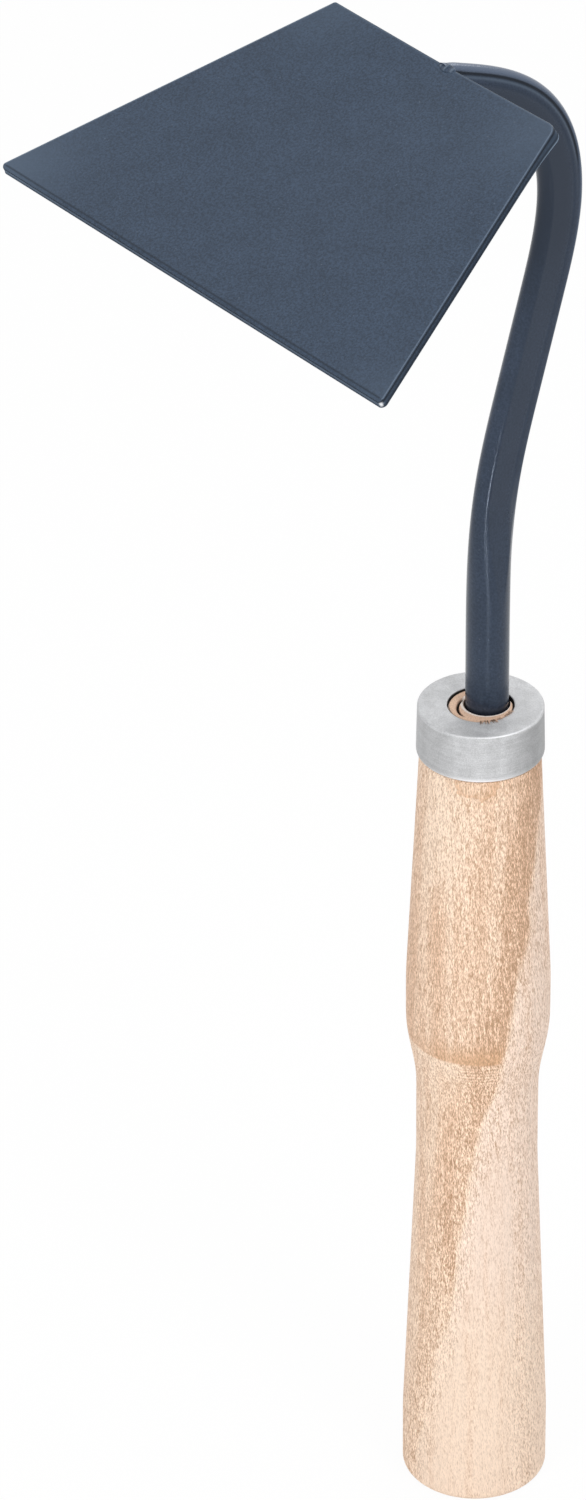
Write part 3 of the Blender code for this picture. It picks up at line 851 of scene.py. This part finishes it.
def blade_shell(s, path):
    """Closed rings of the plate's outline, from the middle of its underside out round the edge and back to
    the middle of its face. The plate is pulled down along its middle line, most at the rear edge.

    Marks are drawn on its wall: dark lines along its edges, a painted highlight along its lower edge with a
    lighter line along the front, a painted highlight on the upper edge, lighter paint at the corners, the
    worn tip, and the dull wall itself."""
    thick = s.blade_thickness
    centre = np.array([0.0, 0.52 * s.blade_depth])
    shrink = np.linspace(0.04, 0.985, 22)
    under, face = plate_outline(s, 0.0006), plate_outline(s, 0.0016)
    # Each row is an outline, its height, its inset and how far it lies through the plate
    rows = [(centre + (under - centre) * share, -thick, 0.02 * (1.0 - share) + 0.0008, 0.0)
            for share in shrink]
    rows += [(plate_outline(s, inset), height, inset, through) for inset, height, through in (
        (0.0004, -thick, 0.0), (0.00014, -thick, 0.01), (0.00004, -thick + 0.00006, 0.04),
        (0.0, -0.92 * thick, 0.08), (0.0, -0.86 * thick, 0.14), (0.00002, -0.78 * thick, 0.22),
        (0.00006, -0.70 * thick, 0.30), (0.00008, -0.50 * thick, 0.50), (0.00006, -0.28 * thick, 0.72),
        (0.00004, -0.18 * thick, 0.82), (0.00004, -0.00022, 0.89), (0.00008, -0.00011, 0.95),
        (0.00018, -0.00003, 1.0), (0.00026, 0.0, 1.0), (0.00035, 0.0, 1.0), (0.00045, 0.0, 1.0),
        (0.0006, 0.0, 1.0), (0.0009, 0.0, 1.0), (0.0013, 0.0, 1.0))]
    rows += [(centre + (face - centre) * share, 0.0, 0.02 * (1.0 - share) + 0.0016, 1.0)
             for share in shrink[::-1]]
    flat = np.stack([row[0] for row in rows])
    height, inset, through = (np.array([row[i] for row in rows])[:, None] + np.zeros(flat.shape[:2])
                              for i in (1, 2, 3))
    # The cutting edge has a narrow chamfer on the face, and the rear corners are drawn down and out
    from_front = s.blade_depth - flat[:, :, 1]
    height = height - np.clip(0.0008 - from_front, 0.0, 0.0008) * 0.375 * (through > 0.85)
    half = s.blade_rear_width / 2
    from_corner = np.hypot(np.abs(flat[:, :, 0]) - half, flat[:, :, 1])
    height = height - 0.0006 * bell(from_corner, 0.0, 0.009) * (1.0 - through)
    drawn = 0.00033 * bell(from_corner, 0.0, 0.005) * (1.0 - through)
    flat = flat + drawn[:, :, None] * np.stack([np.sign(flat[:, :, 0]), -np.ones(drawn.shape)], axis=2)
    near = np.sqrt((flat[:, :, 0] / half) ** 2 + 0.02)
    fall = np.clip(1.02 - near, 0.0, 1.0) * (1.0 - eased(0.0, 1.0, flat[:, :, 1] / s.blade_depth))
    grid = on_plate(plate_seat(s, path), flat[:, :, 0], flat[:, :, 1], height - s.blade_sag * fall)
    wall = (through > 0.03) & (through < 0.99)
    low_band = eased(0.42, 0.24, through) * eased(0.06, 0.12, through) * wall
    high_band = eased(0.66, 0.80, through) * wall
    front_face = eased(0.00035, 0.0001, from_front) * wall
    seam = bell(from_front, 0.00088, 0.00010) * (through > 0.99)
    dark_line = (0.9 * low_band + high_band) * (1.0 - 0.5 * front_face) + 0.9 * seam
    # Painted highlight: a light line along the wall's lower edge, strongest at the rear corners, and
    # front_line adds a lighter band along the front wall
    wall_highlights = bell(through, 0.06, 0.09) * (inset < 0.0007) * (0.15 + 0.85 * bell(from_corner, 0.0, 0.014))
    front_line = 0.5 * bell(through, 0.42, 0.10) * eased(0.0016, 0.0006, from_front)
    chamfer = eased(0.00095, 0.00080, from_front) * (through > 0.85)
    # Painted highlight on the face just inside its upper edge
    upper_edge_highlight = (bell(inset, 0.00038, 0.00013) * (through > 0.99) * np.clip(1.0 - chamfer, 0.0, 1.0)
                  * (1.0 - 0.6 * eased(0.0016, 0.0006, flat[:, :, 1])))
    fields = {
        "dark_line": np.clip(dark_line, 0.0, 1.0), "upper_edge_highlight": np.clip(upper_edge_highlight, 0.0, 1.0),
        "wall_highlights": wall_highlights + front_line, "lighter_corners": corner_lightening(s, flat),
        "worn_tip": worn_tip(s, flat, through * thick - thick),
        "dull": eased(0.0, 0.04, through) * eased(0.96, 0.88, through),
    }
    return capped_shell(grid), {name: with_poles(values) for name, values in fields.items()}


def worn_tip(s, flat, height):
    """Bare metal at the cutting edge's right end: 1 close to a point on its wall, 0 past 0.9 mm from it."""
    tip = np.array([s.blade_edge_width / 2 - 0.0005, s.blade_depth])
    away = np.sqrt(((flat - tip) ** 2).sum(2) + (height + 0.0010) ** 2)
    return eased(0.00090, 0.00055, away)


def corner_lightening(s, flat):
    """Where the paint is a little lighter: the sum of soft round spots on the plate's four corners."""
    half_rear, half_edge, depth = s.blade_rear_width / 2, s.blade_edge_width / 2, s.blade_depth
    corners = np.array([(-half_rear, 0.0), (half_rear, 0.0), (half_edge, depth), (-half_edge, depth)])
    share = np.array([0.4, 0.55, 0.4, 1.0])
    reach = np.array([0.012, 0.014, 0.012, 0.016])
    away = np.linalg.norm(flat[:, :, None] - corners, axis=3)
    return (share * bell(away, 0.0, reach)).sum(2)


def weld_shell(s, path):
    """A fillet carried round the neck's foot under the plate, with ripples along it like laid coins."""
    seat = plate_seat(s, path)
    outward, forward = seat[1:]
    lean = on_path(path, SEAT_LENGTH)[2]
    along = np.array([0.0, math.sin(lean), math.cos(lean)])
    slant = along @ outward
    down = -along / slant
    # The walk goes ahead along one side of the foot, round its front in half an ellipse, and back
    foot_front = s.flat_depth / slant + (down @ forward) * (s.blade_thickness + FACE_SUNK)
    nose = FLAT_CROWN / slant
    half = s.flat_width / 2
    start = 0.0004
    straight = foot_front - nose - start
    perimeter = 2 * straight + math.pi * (half + nose) / 2
    count = 180
    walk = np.linspace(0.0, perimeter, count)
    turn = np.clip((walk - straight) / (perimeter - 2 * straight), 0.0, 1.0) * math.pi
    ahead = np.where(walk > perimeter - straight, start + perimeter - walk,
                     foot_front - nose + nose * np.sin(turn))
    ahead = np.where(walk < straight, start + walk, ahead)
    normal = np.stack([np.cos(turn) / half, np.sin(turn) / nose], axis=1)
    normal = normal / np.linalg.norm(normal, axis=1)[:, None]
    # The fillet's outline: out along the plate, down along the neck, bulging between
    angle = np.linspace(0.0, 1.0, 15) * math.pi / 2
    out = np.cos(angle) * (1.0 - 0.02 * np.sin(2 * angle)) * s.weld_leg
    drop = np.sin(angle) * s.weld_leg
    random = np.random.default_rng(11)
    jitter = np.interp(walk, np.linspace(0.0, perimeter, 12), random.uniform(-0.8, 0.8, 12))
    lag = 0.0009 * np.sin(angle * 2.0)
    wave = 0.0011
    phase = (walk[:, None] + lag) / wave * 2.0 * math.pi + jitter[:, None]
    ripple = np.abs(np.sin(phase / 2.0)) ** 0.6
    swell = np.interp(walk, np.linspace(0.0, perimeter, 9), random.uniform(-0.10, 0.06, 9))
    ends = np.sqrt(np.clip(np.minimum(walk, perimeter - walk) / 0.0016, 0.0, 1.0))
    size = (0.86 + 0.12 * ripple + swell[:, None]) * (0.35 + 0.65 * ends[:, None])
    # Two more points close each ring inside the neck and the plate
    inner = np.full((count, 2), -0.0006)
    out = np.concatenate([inner, out * size], axis=1)
    drop = np.concatenate([inner, drop * size], axis=1)
    drop[:, 0] = drop[:, -1]
    side = half * np.cos(turn)[:, None] + normal[:, :1] * out
    grid = on_plate(seat, side, ahead[:, None] + normal[:, 1:] * out, -s.blade_thickness)
    return capped_shell(grid + drop[:, :, None] * down)


def seam_shell(s, path):
    """The low bead that carries the neck's crown over onto the plate's face: an oval bar across the neck,
    widest and highest in the middle, and swollen into a few lumps. Also a painted highlight on the lumps'
    upper sides, 0 to 1 for each point."""
    low, high, middle = -0.0013, 0.0037, 0.0012
    across = np.linspace(low, high, 120)
    random = np.random.default_rng(5)
    lumps = 1.0 + 0.22 * np.cos((across - middle) / 0.0017 * 2.0 * math.pi)
    lumps = (lumps * np.interp(across, np.linspace(low, high, 7), random.uniform(0.90, 1.1, 7)))[:, None]
    ends = np.sqrt(np.clip(1.0 - ((across - middle) / 0.00255) ** 4, 0.0, 1.0))[:, None]
    crown = np.clip(1.0 - ((across - middle) / 0.0024) ** 2, 0.0, 1.0)[:, None]
    angle = np.arange(32) * 2.0 * math.pi / 32
    ahead = 0.0003 + 0.0002 * crown + (0.0006 + 0.0005 * crown) * ends * np.cos(angle)
    up = -0.0006 + (0.00016 + 0.00026 * crown) * lumps * ends * np.sin(angle)
    # Painted highlight on the upper sides of the lumps
    tops = np.clip(np.sin(angle), 0.0, 1.0) * np.clip((lumps - 1.02) / 0.14, 0.0, 1.0)
    return capped_shell(on_plate(plate_seat(s, path), across[:, None], ahead, up)), with_poles(tops)


def fibre_shells(s):
    """Frayed fibres of end grain over the hole's front edge: short tapered rods that droop outwards. Also
    their fields: all are cut end grain, and most of them are darkened."""
    random = np.random.default_rng(3)
    shells = []
    for i in range(FIBRES):
        long = i < LONG_FIBRES
        turn = math.radians(random.uniform(268.0, 298.0) if long else random.uniform(298.0, 335.0))
        out = SIDEWAYS * math.cos(turn) + AWAY * math.sin(turn)
        across = np.cross(UP, out)
        length = random.uniform(0.0008, 0.0014) * (1.0 if long else 0.5)
        width = random.uniform(0.00012, 0.00020)
        share = np.linspace(0.0, 1.0, 8)[:, None]
        reach = out * (s.hole_radius - 0.0006 + share * (0.0006 + length))
        reach = reach + across * random.uniform(-0.0002, 0.0002) * share ** 2
        reach[:, 2:] = TOP_HEIGHT - 0.0002 + 0.00036 * np.sin(np.minimum(share * 1.6, 1.0) * math.pi / 2)
        angle = np.arange(6)[:, None] * math.pi / 3
        thick = width * (1.0 - 0.75 * share[:, None])
        shells.append(capped_shell(reach[:, None] + thick * (np.cos(angle) * across + np.sin(angle) * UP)))
    order = np.arange(FIBRES)
    shade = np.where(order < LONG_FIBRES, 0.70 * (order % 3 > 0), 0.35)
    dark = np.repeat(shade, [len(points) for points, _, _ in shells])
    return shells, {"cut_face": np.ones(len(dark)), "shade_and_dark_fibres": dark}


def finish_piece(piece, material, slot, *nodes):
    """Gives a piece its material, hides the parts of model.glb that it replaces, and lets it ride on the
    tool's one body.
    """
    piece.data.materials.append(material)
    if nodes:
        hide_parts(*nodes)
    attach(piece, "root")


class HOE_OT_handle(bpy.types.Operator):
    """Turns the handle, with its end grain boss and the split in it"""
    bl_idname = "hoe.handle"
    bl_label = "Turn the handle"

    def execute(self, context):
        shell, fields = handle_shell(sizes())
        wood = wood_finish()
        finish_piece(add_piece("turned_handle", [shell], fields, 50.0), wood, "wood", "handle")
        shells, fields = fibre_shells(sizes())
        finish_piece(add_piece("wood_fibres", shells, fields, 80.0), wood, "wood")
        return {"FINISHED"}


class HOE_OT_ferrule(bpy.types.Operator):
    """Presses the ferrule, a zinc plated cap with a hole in its top"""
    bl_idname = "hoe.ferrule"
    bl_label = "Press the ferrule"

    def execute(self, context):
        shell, fields = ferrule_shell(sizes())
        piece = add_piece("pressed_ferrule", [shell], fields, 40.0)
        finish_piece(piece, zinc_finish(), "zinc", "ferrule")
        return {"FINISHED"}


class HOE_OT_neck(bpy.types.Operator):
    """Bends the neck, a bar that is round below and pressed flat higher up"""
    bl_idname = "hoe.neck"
    bl_label = "Bend the neck"

    def execute(self, context):
        shell, fields = neck_shell(sizes(), neck_path(sizes()))
        # The back's light colour and the shoulder's light line are painted highlights; the flats' and the
        # crease's dark colours are painted shade
        edges = {
            "crown": (0.094, 0.122, 0.178),
            "shade": (0.021, 0.029, 0.047),
            "shoulder_highlight": (0.110, 0.145, 0.195),
            "crease": (0.006, 0.008, 0.012),
            # Painted shade at the bar's foot
            "bar_foot_shade": (0.004, 0.005, 0.008),
        }
        material = paint_finish("neck_paint", tuple(colours().neck_paint), edges, gloss=0.12, mottled=0.20)
        finish_piece(add_piece("bent_neck", [shell], fields, 55.0), material, "neck_paint", "neck")
        return {"FINISHED"}


class HOE_OT_blade(bpy.types.Operator):
    """Cuts the blade, a trapezoid plate with sheared edges and a narrow chamfer"""
    bl_idname = "hoe.blade"
    bl_label = "Cut the blade"

    def execute(self, context):
        shell, fields = blade_shell(sizes(), neck_path(sizes()))
        edges = {
            "lighter_corners": (0.060, 0.086, 0.126),
            "dark_line": (0.006, 0.009, 0.015),
            "upper_edge_highlight": (0.118, 0.155, 0.212),
            "wall_highlights": (0.26, 0.34, 0.45),
            "worn_tip": (0.95, 0.96, 0.98),
        }
        material = paint_finish("blade_paint", tuple(colours().blade_paint), edges)
        finish_piece(add_piece("plate_blade", [shell], fields, 30.0), material, "blade_paint", "blade")
        return {"FINISHED"}


class HOE_OT_weld(bpy.types.Operator):
    """Lays the weld round the neck's foot, and the small bead over the seam on top"""
    bl_idname = "hoe.weld"
    bl_label = "Lay the weld"

    def execute(self, context):
        path = neck_path(sizes())
        fillet = weld_shell(sizes(), path)
        seam, tops = seam_shell(sizes(), path)
        fields = {"lump_highlights": np.concatenate([np.zeros(len(fillet[0])), tops])}
        # The lumps' light tops are a painted highlight
        edges = {"lump_highlights": (0.100, 0.128, 0.170)}
        material = paint_finish("weld_paint", tuple(colours().weld_paint), edges)
        piece = add_piece("laid_weld", [fillet, seam], fields, 60.0)
        finish_piece(piece, material, "weld_paint", "weld_bead")
        return {"FINISHED"}


def stage_point(left, near, rise):
    """A place from how far it lies to the camera's left, towards the camera and up."""
    return -SIDEWAYS * left - AWAY * near + UP * rise


def lamp(name, place, target, size, power, tall=None, spread=180.0):
    """A soft box at place that faces target, square unless it is given how tall it is. Spread is the angle
    in degrees that its light fans out over."""
    data = bpy.data.lights.new(name, "AREA")
    data.shape = "RECTANGLE"
    data.size = size
    data.size_y = tall or size
    data.energy = power
    data.spread = math.radians(spread)
    item = bpy.data.objects.new(name, data)
    item.location = place
    item.rotation_euler = (Vector(target) - Vector(place)).to_track_quat("-Z", "Y").to_euler()
    bpy.context.scene.collection.objects.link(item)
    return item


def seen_rays(tree):
    """1 for rays from the camera, off a mirror or through glass, and 0 for the light on a dull surface."""
    rays = add_node(tree, "LightPath", {}).outputs
    total = rays["Is Camera Ray"]
    for name in ("Is Glossy Ray", "Is Transmission Ray"):
        total = add_node(tree, "Math", {0: total, 1: rays[name]}, operation="MAXIMUM").outputs[0]
    return total


def set_world():
    """White where it is seen, and a soft light from all round on the object."""
    world = bpy.data.worlds.new("studio")
    bpy.context.scene.world = world
    world.use_nodes = True
    tree = world.node_tree
    background = tree.nodes["Background"]
    background.inputs["Color"].default_value = (1.0, 1.0, 1.0, 1.0)
    strength = add_node(tree, "MapRange", {"Value": seen_rays(tree), "To Min": 0.42, "To Max": 1.0})
    join(tree, strength.outputs["Result"], background.inputs["Strength"])


def set_floor():
    """A wide white floor under the butt: it shines white where it is seen, and keeps a faint shadow."""
    mesh = bpy.data.meshes.new("floor")
    reach = 6.0
    mesh.from_pydata([(-reach, -reach, 0.0), (reach, -reach, 0.0), (reach, reach, 0.0), (-reach, reach, 0.0)],
                     [], [(0, 1, 2, 3)])
    floor = bpy.data.objects.new("floor", mesh)
    bpy.context.scene.collection.objects.link(floor)
    material = bpy.data.materials.new("floor_white")
    material.use_nodes = True
    tree = material.node_tree
    tree.nodes.remove(tree.nodes["Principled BSDF"])
    dull = add_node(tree, "BsdfDiffuse", {"Color": (0.90, 0.90, 0.90, 1.0)})
    shine = add_node(tree, "Emission", {"Strength": 1.0})
    share = add_node(tree, "Math", {0: seen_rays(tree), 1: 0.95}, operation="MULTIPLY")
    mix = add_node(tree, "MixShader", {0: share.outputs[0], 1: dull.outputs[0], 2: shine.outputs[0]})
    join(tree, mix.outputs[0], tree.nodes["Material Output"].inputs["Surface"])
    mesh.materials.append(material)


def set_lamps():
    """Four large soft boxes, and two small ones that draw light lines on the gloss of the neck's bend."""
    middle = (0.0, -0.01, 0.2)
    bend = 0.267
    lamp("soft_box_left", middle + stage_point(0.95, 1.4, 0.75), middle, 0.5, 11.0)
    lamp("soft_box_front", middle + stage_point(-0.75, 1.1, 1.1), middle, 0.6, 7.5)
    low = lamp("soft_box_low", stage_point(-0.03, 0.595, bend - 0.18), UP * (bend - 0.012), 0.10, 0.0020,
               tall=0.04, spread=7.0)
    foot = lamp("soft_box_foot", stage_point(0.0, 0.34, 0.065), UP * (bend - 0.03), 0.08, 0.0010, spread=26.0)
    for item in (low, foot):
        item.visible_diffuse = False
    lamp("soft_box_back", middle + stage_point(-0.6, -1.3, 1.0), middle, 0.6, 3.5)
    top = lamp("soft_box_top", middle + stage_point(0.0, -0.15, 1.7), middle, 1.2, 13.0)
    top.visible_glossy = False


def set_camera():
    """The camera stands at VIEW_DISTANCE from the ferrule's top, turned, raised and rolled by its angles."""
    a, e, r = VIEW_AZIMUTH, VIEW_HEIGHT, VIEW_ROLL
    back = np.array([math.sin(a) * math.cos(e), -math.cos(a) * math.cos(e), math.sin(e)])
    up = np.cross(back, SIDEWAYS)
    right, up = (math.cos(r) * SIDEWAYS + math.sin(r) * up, -math.sin(r) * SIDEWAYS + math.cos(r) * up)
    place = UP * TOP_HEIGHT - VIEW_ACROSS * right - VIEW_UP * up + VIEW_DISTANCE * back
    data = bpy.data.cameras.new("camera")
    data.lens = LENS_MM
    data.sensor_width = 36.0
    data.sensor_fit = "AUTO"
    data.clip_end = 50.0
    camera = bpy.data.objects.new("camera", data)
    rows = np.vstack([np.stack([right, up, back, place], axis=1), [0.0, 0.0, 0.0, 1.0]])
    camera.matrix_world = Matrix(rows.tolist())
    bpy.context.scene.collection.objects.link(camera)
    bpy.context.scene.camera = camera


class HOE_OT_stage(bpy.types.Operator):
    """Sets the floor, the lights, the world and the camera"""
    bl_idname = "hoe.stage"
    bl_label = "Set the stage"

    def execute(self, context):
        set_world()
        set_floor()
        set_lamps()
        context.scene.view_settings.view_transform = "Standard"
        set_camera()
        return {"FINISHED"}


OPERATORS = (HOE_OT_handle, HOE_OT_ferrule, HOE_OT_neck, HOE_OT_blade, HOE_OT_weld, HOE_OT_stage)


class HOE_PT_builder(bpy.types.Panel):
    bl_label = "Hand hoe"
    bl_idname = "HOE_PT_builder"
    bl_space_type = "VIEW_3D"
    bl_region_type = "UI"
    bl_category = "Hoe"

    def draw(self, context):
        for operator in OPERATORS:
            self.layout.operator(operator.bl_idname)
        for group in (context.scene.hoe_sizes, context.scene.hoe_colours):
            box = self.layout.box()
            for name in group.bl_rna.properties.keys():
                if name not in ("rna_type", "name"):
                    box.prop(group, name)


CLASSES = (HoeSizes, HoeColours, *OPERATORS, HOE_PT_builder)


def register():
    for item in CLASSES:
        bpy.utils.register_class(item)
    bpy.types.Scene.hoe_sizes = bpy.props.PointerProperty(type=HoeSizes)
    bpy.types.Scene.hoe_colours = bpy.props.PointerProperty(type=HoeColours)


def unregister():
    del bpy.types.Scene.hoe_colours
    del bpy.types.Scene.hoe_sizes
    for item in reversed(CLASSES):
        bpy.utils.unregister_class(item)


def main():
    register()
    for make in (bpy.ops.hoe.handle, bpy.ops.hoe.ferrule, bpy.ops.hoe.neck, bpy.ops.hoe.blade,
                 bpy.ops.hoe.weld, bpy.ops.hoe.stage):
        make()


if __name__ == "__main__":
    main()
